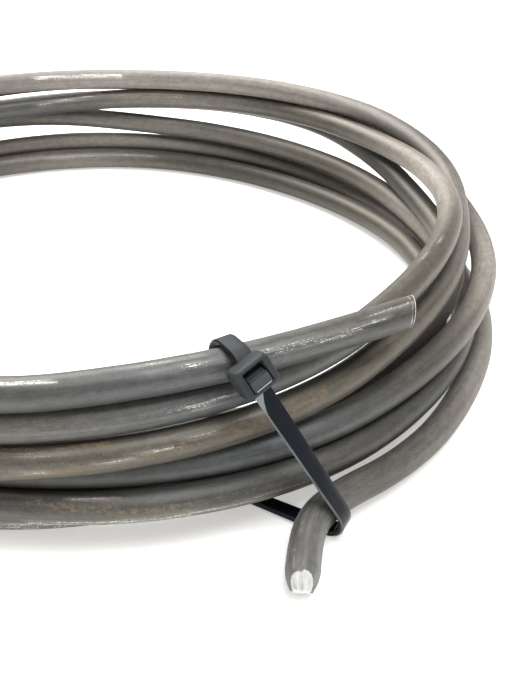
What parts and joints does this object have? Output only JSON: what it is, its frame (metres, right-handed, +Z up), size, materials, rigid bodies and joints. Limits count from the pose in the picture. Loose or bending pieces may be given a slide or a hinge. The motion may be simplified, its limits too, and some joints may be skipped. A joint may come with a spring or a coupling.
{
  "type": "coil of tie wire",
  "caption": "Loose coil of thick steel tie wire with both cut ends free, bound with a black nylon cable tie.",
  "frame": {"origin": "on the floor, under the middle of the whole part's box", "axes": "+Z up along the coil's axis, +Y to the far side, away from the wire's lower free end, +X to the right seen from the near side"},
  "size_m": [0.2033, 0.2072, 0.037],
  "materials": {
    "wire_steel": "dark grey-brown mill scale with thin orange rust and bare scratches",
    "tie_nylon": "black moulded nylon, satin"
  },
  "bodies": {
    "root": {"wire": "wire_steel", "cable_tie": "tie_nylon"}
  },
  "joints": []
}
